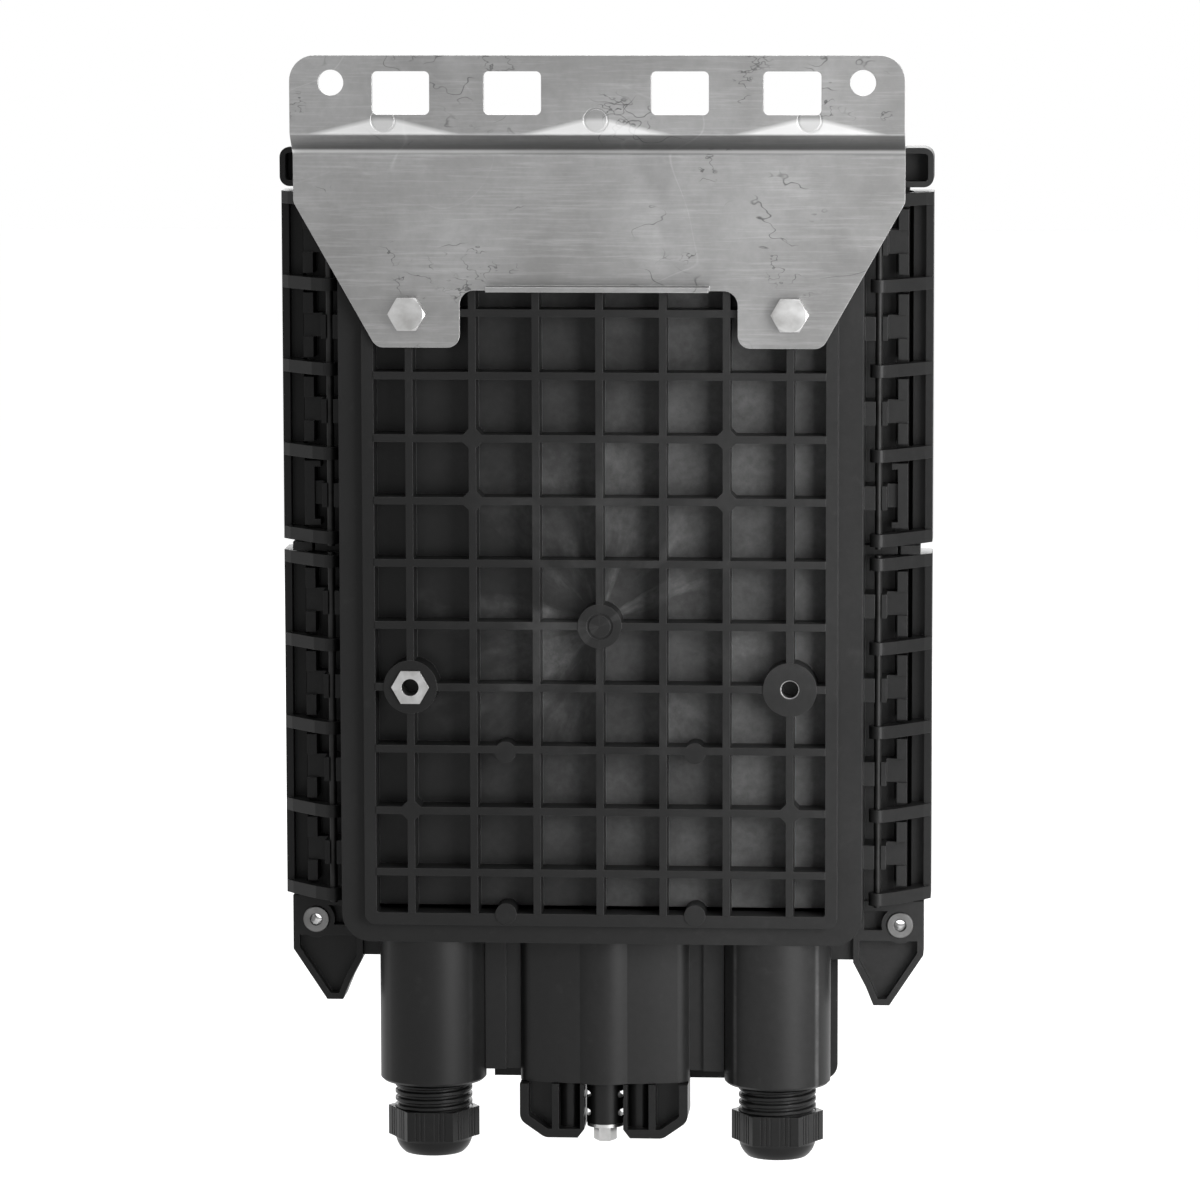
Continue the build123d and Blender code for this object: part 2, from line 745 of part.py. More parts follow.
for word, side in SIDES.items():
    for row, start in zip(("upper", "lower"), latch_starts):
        arm_starts = [start + i * window_pitch for i in range(windows + 1)]
        with BuildPart() as latch:
            with BuildSketch(level(start)):
                Polygon(*mirrored(strip_outline, side), align=None)
            extrude(amount=latch_length)
            with BuildSketch(*[level(z) for z in arm_starts]):
                with Locations((side * rod_x, -rod_depth)):
                    Circle(knuckle_dia / 2)
                Polygon(*mirrored(arm_outline, side), align=None)
            extrude(amount=arm_height)
            with BuildSketch(level(start)):
                with Locations((side * rod_x, -rod_depth)):
                    Circle(rod_radius + running)
            extrude(amount=latch_length, mode=Mode.SUBTRACT)
            # pockets in the front of the strip keep its wall even
            with BuildSketch(at(latch_panel + 3.0)):
                with Locations((side * (latch_in - 3.0), start + latch_length / 2)):
                    with GridLocations(1, window_pitch, 1, windows):
                        Rectangle(4.4, window_pitch - latch_skin)
            extrude(amount=latch_front, mode=Mode.SUBTRACT)
        finish(latch.part, f"latch_{row}_{word}")
        with BuildPart() as rod:
            with BuildSketch(level(start - 1.0)):
                with Locations((side * rod_x, -rod_depth)):
                    Circle(rod_radius)
            extrude(amount=latch_length + 2.0)
        finish(rod.part, f"hinge_rod_{row}_{word}")

# Cover
cover_height = cover_depth - cover_rear
apron_half = half_frame - apron_inset
apron_cut_out = apron_half - apron_leg
apron_cut_in = port_x - tube_dia / 2 - apron_cut_room
side_rows = [start + latch_length / 2 for start in latch_starts]
with BuildPart() as cover:
    with BuildSketch(at(cover_rear)):
        with Locations((0, frame_centre)):
            RectangleRounded(frame_width, frame_height, frame_corner)
    extrude(amount=cover_height, taper=cover_taper)
    fillet(cover.edges().group_by(Axis.Y)[0], cover_edge)
    with BuildSketch(at(cover_rear)):
        flange_outline()
    extrude(amount=cover_flange)
    with BuildSketch(at(cover_rear)):
        with Locations((0, frame_centre)):
            RectangleRounded(frame_width - 2 * wall, frame_height - 2 * wall, frame_corner - wall)
    extrude(amount=cover_height - cover_front_wall, taper=cover_taper, mode=Mode.SUBTRACT)
    # wedge-shaped lips that the latches hook over
    with BuildSketch(*[level(start - 0.5) for start in latch_starts]):
        for side in SIDES.values():
            Polygon(
                *mirrored(
                    [(lip_foot[0] + 3, lip_foot[1]), lip_foot, lip_top, (lip_top[0], -90), (lip_foot[0] + 3, -90)],
                    side,
                ),
                align=None,
            )
    extrude(amount=latch_length + 1.0, mode=Mode.SUBTRACT)
    with BuildSketch(*[level(start) for start in latch_starts]):
        for side in SIDES.values():
            Polygon(
                *mirrored(
                    [lip_top, (lip_top[0] - lip_land, lip_top[1]), (lip_top[0] - lip_land, -cover_rear - 1),
                     (lip_top[0], -cover_rear - 1)],
                    side,
                ),
                align=None,
            )
    extrude(amount=latch_length)
    # gussets between the side walls and the flange
    gusset_levels = [
        row + (i - (windows - 1) / 2) * window_pitch - gusset / 2 for row in side_rows for i in range(windows)
    ]
    with BuildSketch(*[level(z) for z in gusset_levels]):
        for side in SIDES.values():
            Polygon(
                *mirrored(
                    [(half_frame - 2, -cover_rear - 1), (lip_top[0] - 1, -cover_rear - 1),
                     (lip_top[0] - 1, lip_top[1]), (half_frame - 2, -cover_rear - 22)],
                    side,
                ),
                align=None,
            )
    extrude(amount=gusset)
    # ribs on the front
    with BuildSketch(at(cover_depth - 1)):
        with Locations((0, frame_centre)):
            with GridLocations(1, cover_rib_pitch, 1, cover_ribs):
                SlotOverall(frame_width - 2 * cover_rib_inset, 2 * cover_rib)
    extrude(amount=1 + cover_rib_height, taper=20)
    # apron that hides the ports from the front
    with BuildSketch(at(cover_rear)):
        with Locations((0, flange_bottom - apron_drop / 2 + 2)):
            RectangleRounded(2 * apron_half, apron_drop + 4, apron_corner)
        # two openings in its lower edge, below the round ports
        with Locations((0, flange_bottom - apron_drop)):
            with GridLocations(apron_cut_out + apron_cut_in, 1, 2, 1):
                RectangleRounded(apron_cut_out - apron_cut_in, 2 * apron_cut_rise, apron_corner, mode=Mode.SUBTRACT)
    extrude(amount=apron_thickness)
    with BuildSketch(*[across(x - gusset / 2) for x in (-72, -36, 0, 36, 72)]):
        Polygon(
            (-cover_rear - 1, flange_bottom + 1), (-cover_rear - cover_flange, flange_bottom + 1),
            (-cover_rear - apron_thickness - 1, flange_bottom - apron_drop + 4),
            (-cover_rear - 1, flange_bottom - apron_drop + 4), align=None,
        )
    extrude(amount=gusset)
    with BuildSketch(at(cover_rear - 1)):
        with Locations(*ear_points):
            Circle(bushing_hole_dia / 2 + 0.5)
    extrude(amount=cover_flange + 2, mode=Mode.SUBTRACT)
finish(cover.part, "cover_shell")

# Cable glands, one at the foot of each round port
seat_z = port_bottom + tube_end_thickness
thread_end = port_bottom - gland_drop
ring_top = thread_end - 3 * gap
ring_bottom = ring_top - ring_thickness
nut_top = port_bottom - nut_gap
nut_seat = ring_bottom - gap
hex_bottom = nut_top - nut_hex_height
dome_bottom = hex_bottom - nut_dome_height
for word, (x, y) in zip(SIDES, port_points):
    with BuildPart() as gland:
        with BuildSketch(level(thread_end)):
            with Locations((x, y)):
                Circle(gland_thread_dia / 2)
        extrude(amount=seat_z - thread_end)
        with BuildSketch(level(seat_z)):
            with Locations((x, y)):
                Circle(gland_flange_dia / 2)
        extrude(amount=gland_flange)
        with BuildSketch(level(thread_end)):
            with Locations((x, y)):
                Circle(gland_bore_dia / 2)
        extrude(amount=seat_z + gland_flange - thread_end, mode=Mode.SUBTRACT)
        with BuildSketch(level(thread_end)):
            with Locations((x, y)):
                Circle(seal_bore_dia / 2)
        extrude(amount=seal_height, mode=Mode.SUBTRACT)
    finish(gland.part, f"gland_body_{word}")
    with BuildPart() as seal:
        with BuildSketch(level(thread_end - gap)):
            with Locations((x, y)):
                Circle(seal_bore_dia / 2 - hair)
                Circle(seal_hole_dia / 2, mode=Mode.SUBTRACT)
        extrude(amount=seal_height + gap)
    finish(seal.part, f"gland_seal_{word}")
    with BuildPart() as clamp_ring:
        with BuildSketch(level(ring_bottom)):
            with Locations((x, y)):
                Circle(gland_thread_dia / 2 - gap)
                Circle(cable_entry_dia / 2 + 0.5, mode=Mode.SUBTRACT)
        extrude(amount=ring_thickness)
    finish(clamp_ring.part, f"gland_clamp_ring_{word}")
    with BuildPart() as nut:
        with BuildSketch(Plane((x, y, 0), x_dir=(1, 0, 0), z_dir=(0, -1, 0))):
            with BuildLine():
                Polyline(
                    (gland_thread_dia / 2 + running, nut_top), (nut_flats / 2, nut_top),
                    (nut_flats / 2, hex_bottom), (nut_flats / 2 - 0.6, hex_bottom - 1.0),
                )
                ThreePointArc(
                    (nut_flats / 2 - 0.6, hex_bottom - 1.0),
                    (nut_flats / 2 - 1.7, hex_bottom - nut_dome_height * 0.6),
                    (nut_dome_end_dia / 2, dome_bottom),
                )
                Polyline(
                    (nut_dome_end_dia / 2, dome_bottom), (cable_entry_dia / 2, dome_bottom),
                    (cable_entry_dia / 2, dome_bottom + 4.0), (gland_thread_dia / 2 - 1.5, nut_seat),
                    (gland_thread_dia / 2 + running, nut_seat), (gland_thread_dia / 2 + running, nut_top),
                )
            make_face()
        revolve(axis=Axis((x, y, 0), (0, 0, 1)))
        with BuildSketch(level(hex_bottom)):
            with Locations((x, y)):
                RegularPolygon(nut_flats / 2, 6, major_radius=False)
                with PolarLocations(nut_flats / 2, 6, start_angle=30):
                    with GridLocations(1, grip_pitch, 1, grip_ribs):
                        Rectangle(0.6, 0.7, mode=Mode.SUBTRACT)
                Circle(gland_thread_dia / 2 + running, mode=Mode.SUBTRACT)
        extrude(amount=nut_hex_height)
    finish(nut.part, f"gland_nut_{word}")

# Oval port: rubber squeezed between two plates by one bolt
core_bottom = port_bottom - plate_height + plate_core_rise
spigot_top = port_bottom + plate_spigot
seal_bottom = spigot_top + gap
seal_top = seal_bottom + oval_seal_height
inner_top = seal_top + oval_inner_thickness
bolt_seat = core_bottom - washer_thickness
with BuildPart() as oval_seal:
    with BuildSketch(level(seal_bottom)):
        oval(oval_wall + running)
        with Locations((0, -port_depth)):
            Circle(oval_bolt_dia / 2 + running, mode=Mode.SUBTRACT)
        with Locations((-plug_x, -port_depth), (plug_x, -port_depth)):
            Circle(plug_dia / 2, mode=Mode.SUBTRACT)
    extrude(amount=oval_seal_height)
finish(oval_seal.part, "oval_port_seal")

with BuildPart() as inner_plate:
    with BuildSketch(level(seal_top)):
        oval(oval_wall + gap)
        with Locations((0, -port_depth)):
            Circle(oval_bolt_dia / 2 + running, mode=Mode.SUBTRACT)
        with Locations((-plug_x, -port_depth), (plug_x, -port_depth)):
            Circle(plug_dia / 2 + gap, mode=Mode.SUBTRACT)
    extrude(amount=oval_inner_thickness)
finish(inner_plate.part, "oval_port_inner_plate")

with BuildPart() as oval_nut:
    with BuildSketch(level(inner_top)):
        with Locations((0, -port_depth)):
            RegularPolygon(oval_nut_flats / 2, 6, major_radius=False)
            Circle(oval_bolt_dia / 2 + hair, mode=Mode.SUBTRACT)
    extrude(amount=oval_nut_height)
finish(oval_nut.part, "oval_port_nut")

for word, side in SIDES.items():
    with BuildPart() as plug:
        with BuildSketch(level(seal_bottom - 4)):
            with Locations((side * plug_x, -port_depth)):
                Circle(plug_dia / 2 - hair)
        extrude(amount=oval_seal_height + 6)
        chamfer(plug.edges().group_by(Axis.Z)[-1], 1.0)
    finish(plug.part, f"oval_port_plug_{word}")

plate_half = oval_half_width - plate_inset
plate_top = port_bottom - gap
plate_bottom = plate_top - plate_height
recess_half = plate_core_dia / 2 + plate_core_gap


def plate_outline(top):
    """The outer plate seen from the rear, drawn up to a height."""
    with BuildLine() as outline:
        FilletPolyline(
            (plate_half, top), (plate_half, plate_bottom + plate_corner_height),
            (plate_half - plate_corner_width, plate_bottom), (plate_corner_width - plate_half, plate_bottom),
            (-plate_half, plate_bottom + plate_corner_height), (-plate_half, top),
            radius=plate_corner_round,
        )
        Line((-plate_half, top), (plate_half, top))
    make_face(outline.edges())


with BuildPart() as outer_plate:
    with BuildSketch(at(port_depth - oval_half_depth)):
        plate_outline(plate_top)
    extrude(amount=2 * oval_half_depth)
    # windows beside the ribs, from the rear and from the front, with a web between them
    with BuildSketch(at(port_depth - oval_half_depth), at(port_depth + plate_web / 2)):
        plate_outline(plate_top + plate_height)
        offset(amount=-plate_side, kind=Kind.INTERSECTION)
        with Locations((0, plate_top)):
            Rectangle(2 * (recess_half + plate_core_wall), 4 * plate_height, mode=Mode.SUBTRACT)
            with GridLocations(2 * plate_rib_x, 1, 2, 1):
                Rectangle(plate_rib, 4 * plate_height, mode=Mode.SUBTRACT)
    extrude(amount=oval_half_depth - plate_web / 2, mode=Mode.SUBTRACT)
    # recess for the bolt's head, wider at its mouth, with a round core above it
    with BuildSketch(at(port_depth - oval_half_depth)):
        Polygon(
            (-recess_half, plate_top), (-recess_half, plate_bottom + plate_side),
            (-recess_half - plate_side, plate_bottom - 1), (recess_half + plate_side, plate_bottom - 1),
            (recess_half, plate_bottom + plate_side), (recess_half, plate_top), align=None,
        )
    extrude(amount=2 * oval_half_depth, mode=Mode.SUBTRACT)
    with BuildSketch(level(core_bottom)):
        with Locations((0, -port_depth)):
            Circle(plate_core_dia / 2)
    extrude(amount=port_bottom - core_bottom)
    with BuildSketch(at(port_depth - oval_half_depth)):
        with Locations((0, port_bottom - core_hole_drop)):
            with GridLocations(plate_core_dia - core_hole_dia / 2, core_hole_pitch, 2, 2):
                Circle(core_hole_dia / 2)
    extrude(amount=2 * oval_half_depth, mode=Mode.SUBTRACT)
    # guides for two cables and the spigot that enters the port
    with BuildSketch(level(plate_bottom + plate_side - 1)):
        with Locations((-plug_x, -port_depth), (plug_x, -port_depth)):
            Circle(plug_dia / 2 + plug_guide_wall)
    extrude(amount=plate_height - plate_side + 1)
    with BuildSketch(level(plate_top)):
        oval(oval_wall + gap)
    extrude(amount=plate_spigot + gap)
    with BuildSketch(level(plate_bottom - 1)):
        with Locations((-plug_x, -port_depth), (plug_x, -port_depth)):
            Circle(plug_dia / 2 + gap)
        with Locations((0, -port_depth)):
            Circle(oval_bolt_dia / 2 + running)
    extrude(amount=plate_height + plate_spigot + 4, mode=Mode.SUBTRACT)
finish(outer_plate.part, "oval_port_outer_plate")

with BuildPart() as washer:
    with BuildSketch(level(bolt_seat)):
        with Locations((0, -port_depth)):
            Circle(washer_dia / 2)
            Circle(oval_bolt_dia / 2 + running, mode=Mode.SUBTRACT)
    extrude(amount=washer_thickness)
finish(washer.part, "oval_port_washer")

with BuildPart() as oval_bolt:
    with BuildSketch(level(bolt_seat)):
        with Locations((0, -port_depth)):
            RegularPolygon(oval_bolt_flats / 2, 6, major_radius=False)
    extrude(amount=-oval_bolt_head)
    chamfer(oval_bolt.edges().group_by(Axis.Z)[0], 0.5)
    with BuildSketch(level(bolt_seat)):
        with Locations((0, -port_depth)):
            Circle(oval_bolt_dia / 2)
    extrude(amount=inner_top + oval_nut_height + 8 - bolt_seat)
finish(oval_bolt.part, "oval_port_bolt")

# Tray carrier: a plate on four posts, with two stepped hinge towers at its foot
tray_bottom = tray_top - tray_height
tray_depths = [tray_start + i * tray_pitch for i in range(tray_count)]
stack_front = tray_depths[-1] + tray_deep
hinge_z = tray_bottom - hinge_arm
pin_radius = hinge_pin_dia / 2
with BuildPart() as carrier:
    with BuildSketch(at(carrier_depth)):
        with Locations((0, carrier_centre)):
            RectangleRounded(carrier_width, carrier_height, carrier_corner)
            with GridLocations(carrier_width * 0.3, carrier_height * 0.22, 2, 3):
                SlotOverall(carrier_slot_length, carrier_slot_width, mode=Mode.SUBTRACT)
        with Locations(*post_points):
            Circle(post_screw_dia / 2 + running, mode=Mode.SUBTRACT)
    extrude(amount=carrier_thickness)
    # hinge towers, slotted for the pin of each tray
    with BuildSketch(across(-hinge_x - hinge_thickness / 2), across(hinge_x - hinge_thickness / 2)):
        Polygon(
            (-carrier_front + 0.5, hinge_z + 5.0), (-carrier_front + 0.5, hinge_z - 9.0),
            (-carrier_front - 6, hinge_z - 9.0), (-stack_front, hinge_z - 5.0), (-stack_front, hinge_z + 1.0),
            (-carrier_front - 2, hinge_z + 5.0), align=None,
        )
        for depth in tray_depths:
            with Locations((-depth - tray_deep / 2, hinge_z)):
                Circle(pin_radius + running, mode=Mode.SUBTRACT)
            with Locations((-depth - tray_deep / 2, hinge_z + 3)):
                Rectangle(hinge_pin_dia - 0.8, 6, mode=Mode.SUBTRACT)
    extrude(amount=hinge_thickness)
    # rim that keeps spare fibre under the trays
    with BuildSketch(at(carrier_front)):
        with Locations((0, carrier_centre)):
            RectangleRounded(carrier_width, carrier_height, carrier_corner)
            RectangleRounded(
                carrier_width - 2 * tray_skin, carrier_height - 2 * tray_skin, carrier_corner - tray_skin,
                mode=Mode.SUBTRACT,
            )
            Rectangle(carrier_width * 0.5, carrier_height + 2, mode=Mode.SUBTRACT)
            with GridLocations(carrier_width, carrier_height * 0.42, 2, 2):
                Rectangle(8, 30, mode=Mode.SUBTRACT)
    extrude(amount=tray_start - carrier_front - 1)
finish(carrier.part, "tray_carrier")

with BuildPart() as screws:
    with BuildSketch(at(carrier_front)):
        with Locations(*post_points):
            Circle(post_screw_dia)
    extrude(amount=2.2)
    with BuildSketch(at(carrier_front + 0.8)):
        with Locations(*post_points):
            Rectangle(4.2, 0.8)
            Rectangle(0.8, 4.2)
    extrude(amount=2, mode=Mode.SUBTRACT)
    with BuildSketch(at(carrier_front - carrier_thickness - 9)):
        with Locations(*post_points):
            Circle(post_screw_dia / 2 - hair)
    extrude(amount=carrier_thickness + 9)
finish(screws.part, "carrier_screws")

# Splice trays, hinged at the foot one above the other
tray_centre = (0, tray_top - tray_height / 2)
holder_centre = (0, tray_centre[1] + tray_height * 0.3)
spool_centre = (0, tray_centre[1] - tray_height * 0.14)
for n, depth in enumerate(tray_depths, 1):
    with BuildPart() as tray:
        with BuildSketch(at(depth)):
            with Locations(tray_centre):
                RectangleRounded(tray_width, tray_height, tray_corner)
        extrude(amount=tray_deep)
        with BuildSketch(at(depth + tray_skin)):
            with Locations(tray_centre):
                RectangleRounded(
                    tray_width - 2 * tray_skin, tray_height - 2 * tray_skin, tray_corner - tray_skin
                )
        extrude(amount=tray_deep, mode=Mode.SUBTRACT)
        # two spools that the fibre is coiled round, open between them
        with BuildSketch(at(depth + tray_skin)):
            with Locations(spool_centre):
                Circle(spool_dia / 2)
                Circle(spool_dia / 2 - spool_skin, mode=Mode.SUBTRACT)
                Rectangle(14, spool_dia, mode=Mode.SUBTRACT)
                Rectangle(spool_dia, 14, mode=Mode.SUBTRACT)
        extrude(amount=tray_deep - tray_skin)
        # tabs that keep the fibre down
        with BuildSketch(at(depth + tray_deep - tray_skin)):
            with Locations(tray_centre):
                with GridLocations(tray_width - tray_tab - tray_skin, tray_height * 0.34, 2, 3):
                    Rectangle(tray_tab + tray_skin, tray_tab)
        extrude(amount=tray_skin)
        # mouths for the fibre in the upper corners of the side walls
        with BuildSketch(at(depth + tray_skin)):
            with Locations(tray_centre):
                with GridLocations(tray_width, tray_height * 0.62, 2, 2):
                    Rectangle(2 * tray_skin + 1, 12)
        extrude(amount=tray_deep, mode=Mode.SUBTRACT)
        # hinge arms and pin
        arm_x = hinge_x - hinge_thickness / 2 - gap
        with BuildSketch(across(-arm_x), across(arm_x - hinge_arm_width)):
            with Locations((-depth - tray_deep / 2, hinge_z)):
                Circle(pin_radius + 0.8)
            with Locations((-depth - tray_deep / 2, hinge_z + hinge_arm / 2 + 0.5)):
                Rectangle(2 * pin_radius + 1.6, hinge_arm + 1)
        extrude(amount=hinge_arm_width)
        with BuildSketch(across(-hinge_x - hinge_thickness / 2), across(hinge_x - hinge_thickness / 2 - 2 * gap)):
            with Locations((-depth - tray_deep / 2, hinge_z)):
                Circle(pin_radius)
        extrude(amount=hinge_thickness + 2 * gap)
    finish(tray.part, f"splice_tray_{n}")
    # splice holder: a comb that grips the splice sleeves
    with BuildPart() as holder:
        with BuildSketch(at(depth + tray_skin)):
            with Locations(holder_centre):
                RectangleRounded(holder_width, holder_height, 1.5)
        extrude(amount=1.2)
        with BuildSketch(at(depth + tray_skin + 1)):
            with Locations(holder_centre):
                with GridLocations(holder_width / 3, holder_height / (holder_slots + 1), 3, holder_slots + 1):
                    Rectangle(holder_width / 5, 1.6)
        extrude(amount=holder_deep)
    finish(holder.part, f"splice_holder_{n}")

with BuildPart() as lid:
    with BuildSketch(at(stack_front + gap)):
        with Locations(tray_centre):
            RectangleRounded(tray_width, tray_height, tray_corner)
    extrude(amount=lid_thickness)
    with BuildSketch(at(stack_front + gap + lid_thickness)):
        with Locations((0, tray_centre[1] - tray_height * 0.2)):
            RectangleRounded(tray_width * 0.5, tray_height * 0.16, 4)
            RectangleRounded(tray_width * 0.5 - 2, tray_height * 0.16 - 2, 3, mode=Mode.SUBTRACT)
    extrude(amount=0.6)
finish(lid.part, "tray_lid")

# Strap round the carrier and the stack of trays
strap_rear = carrier_depth - gap
strap_front = stack_front + gap + lid_thickness + gap
with BuildPart() as strap:
    with BuildSketch(level(tray_top - strap_drop - strap_width)):
        with Locations((0, -(strap_rear + strap_front) / 2)):
            RectangleRounded(
                carrier_width + 2 * gap + 2 * strap_thickness, strap_front - strap_rear + 2 * strap_thickness,
                strap_thickness,
            )
            Rectangle(carrier_width + 2 * gap, strap_front - strap_rear, mode=Mode.SUBTRACT)
    extrude(amount=strap_width)
finish(strap.part, "tray_strap")

# Clamps for the cables' strength members, above each round port
clamp_z = frame_bottom + wall + clamp_rise
for word, (x, y) in zip(SIDES, port_points):
    with BuildPart() as clamp:
        with BuildSketch(level(clamp_z)):
            with Locations((x, -floor_front - clamp_sheet / 2)):
                Rectangle(clamp_width, clamp_sheet)
            with Locations((x - (clamp_width - clamp_sheet) / 2, -floor_front - clamp_height / 2)):
                Rectangle(clamp_sheet, clamp_height)
        extrude(amount=clamp_height)
    finish(clamp.part, f"strength_clamp_{word}")
    with BuildPart() as clamp_screw:
        with BuildSketch(at(floor_front + clamp_sheet)):
            with Locations((x, clamp_z + clamp_height / 2)):
                Circle(clamp_screw_dia)
                Rectangle(clamp_screw_dia * 1.4, 1, mode=Mode.SUBTRACT)
        extrude(amount=2.4)
    finish(clamp_screw.part, f"clamp_screw_{word}")
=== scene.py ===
import math

import bpy
from mathutils import Matrix, Vector


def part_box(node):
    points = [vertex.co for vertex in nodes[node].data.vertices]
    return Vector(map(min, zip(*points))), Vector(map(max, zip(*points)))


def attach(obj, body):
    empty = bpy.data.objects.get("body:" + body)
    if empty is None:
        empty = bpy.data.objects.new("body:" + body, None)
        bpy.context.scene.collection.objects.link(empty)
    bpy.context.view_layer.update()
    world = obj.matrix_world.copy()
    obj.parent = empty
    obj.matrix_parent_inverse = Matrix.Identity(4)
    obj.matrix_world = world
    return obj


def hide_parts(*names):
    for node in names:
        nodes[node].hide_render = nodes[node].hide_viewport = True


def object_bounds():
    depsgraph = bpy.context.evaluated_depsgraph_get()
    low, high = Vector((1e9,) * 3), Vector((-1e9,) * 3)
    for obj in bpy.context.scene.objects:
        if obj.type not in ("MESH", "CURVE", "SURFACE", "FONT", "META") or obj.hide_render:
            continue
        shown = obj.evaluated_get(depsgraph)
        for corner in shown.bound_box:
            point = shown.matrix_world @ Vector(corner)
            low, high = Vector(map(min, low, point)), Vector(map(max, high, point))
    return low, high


# Looks of the fibre optic splice closure, in metres and in the frame's own axes.
# The photograph shows the back, which faces the wall, so the camera stands on the wall's side.

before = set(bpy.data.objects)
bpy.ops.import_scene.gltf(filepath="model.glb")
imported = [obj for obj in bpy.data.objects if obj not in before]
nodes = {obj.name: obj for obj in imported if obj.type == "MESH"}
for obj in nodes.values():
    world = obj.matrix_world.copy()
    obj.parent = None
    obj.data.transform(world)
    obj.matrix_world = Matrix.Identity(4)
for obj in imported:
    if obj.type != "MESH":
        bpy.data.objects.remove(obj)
cad_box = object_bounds()

MM = 0.001
SIDES = ("left", "right")


# Materials


def srgb(value):
    """A grey of the photograph, 0 to 255, as a linear value."""
    v = value / 255
    return v / 12.92 if v <= 0.04045 else ((v + 0.055) / 1.055) ** 2.4


class Finish:
    """A procedural material: one Principled shader, with detail laid over it from object coordinates."""

    def __init__(self, name, metallic=0.0, specular=0.5, edge=0.0):
        self.material = bpy.data.materials.new(name)
        self.material.use_nodes = True
        self.tree = self.material.node_tree
        self.shader = self.tree.nodes["Principled BSDF"]
        self.shader.inputs["Metallic"].default_value = metallic
        self.shader.inputs["Specular IOR Level"].default_value = specular
        self.place = self.node("ShaderNodeTexCoord").outputs["Object"]
        self.normal = None
        if edge:
            # softened edges, and how far each point is turned by them, kept as the mask for painted edge
            # highlights
            bevel = self.node("ShaderNodeBevel", samples=4)
            bevel.inputs["Radius"].default_value = edge
            self.normal = bevel.outputs["Normal"]
            flat = self.node("ShaderNodeNewGeometry").outputs["Normal"]
            turn = self.node("ShaderNodeVectorMath", operation="DOT_PRODUCT")
            self.put(turn.inputs[0], flat)
            self.put(turn.inputs[1], self.normal)
            self.painted_edge_highlight = self.spread(turn.outputs["Value"], 0.72, 0.97, 1.0, 0.0)

    def node(self, kind, **settings):
        made = self.tree.nodes.new(kind)
        for key, value in settings.items():
            setattr(made, key, value)
        return made

    def put(self, socket, value):
        """Links a socket or sets a plain value."""
        if isinstance(value, bpy.types.NodeSocket):
            self.tree.links.new(value, socket)
        else:
            socket.default_value = value

    def math(self, operation, a, b=0.0):
        made = self.node("ShaderNodeMath", operation=operation)
        self.put(made.inputs[0], a)
        self.put(made.inputs[1], b)
        return made.outputs[0]

    def square(self, value):
        return self.math("MULTIPLY", value, value)

    def mapped(self, stretch=(1, 1, 1), turn=(0, 0, 0), shift=(0, 0, 0)):
        """Object coordinates, scaled along each axis after a turn."""
        made = self.node("ShaderNodeMapping", vector_type="POINT")
        self.put(made.inputs["Vector"], self.place)
        made.inputs["Location"].default_value = shift
        made.inputs["Rotation"].default_value = turn
        made.inputs["Scale"].default_value = stretch
        return made.outputs["Vector"]

    def warped(self, amount):
        """Object coordinates, pushed about by a coarse noise so that what is drawn on them curls."""
        cloud = self.node("ShaderNodeTexNoise")
        self.put(cloud.inputs["Vector"], self.place)
        cloud.inputs["Scale"].default_value = 35.0
        push = self.node("ShaderNodeVectorMath", operation="MULTIPLY_ADD")
        self.put(push.inputs[0], cloud.outputs["Color"])
        push.inputs[1].default_value = (amount, amount, amount)
        self.put(push.inputs[2], self.place)
        return push.outputs["Vector"]

    def noise(self, scale, detail=3.0, rough=0.5, vector=None):
        made = self.node("ShaderNodeTexNoise")
        self.put(made.inputs["Vector"], vector if vector is not None else self.place)
        made.inputs["Scale"].default_value = scale
        made.inputs["Detail"].default_value = detail
        made.inputs["Roughness"].default_value = rough
        return made.outputs["Fac"]

    def spread(self, value, low, high, to_low=0.0, to_high=1.0):
        """A value's range from low to high, moved to another range and held inside it."""
        made = self.node("ShaderNodeMapRange", clamp=True)
        self.put(made.inputs["Value"], value)
        made.inputs["From Min"].default_value = low
        made.inputs["From Max"].default_value = high
        made.inputs["To Min"].default_value = to_low
        made.inputs["To Max"].default_value = to_high
        return made.outputs["Result"]

    def blend(self, factor, a, b):
        made = self.node("ShaderNodeMix", data_type="RGBA")
        self.put(made.inputs[0], factor)
        self.put(made.inputs[6], a)
        self.put(made.inputs[7], b)
        return made.outputs[2]

    def bump(self, height, strength, distance):
        made = self.node("ShaderNodeBump")
        made.inputs["Strength"].default_value = strength
        made.inputs["Distance"].default_value = distance
        self.put(made.inputs["Height"], height)
        if self.normal is not None:
            self.put(made.inputs["Normal"], self.normal)
        self.normal = made.outputs["Normal"]

    def axis(self, name):
        made = self.node("ShaderNodeSeparateXYZ")
        self.put(made.inputs[0], self.place)
        return made.outputs[name]

    def colour(self, value):
        self.put(self.shader.inputs["Base Color"], value)

    def roughness(self, value):
        self.put(self.shader.inputs["Roughness"], value)

    def done(self):
        if self.normal is not None:
            self.put(self.shader.inputs["Normal"], self.normal)
        return self.material


def grey(value, tint=(1.0, 1.0, 1.0)):
    return tuple(value * t for t in tint) + (1.0,)


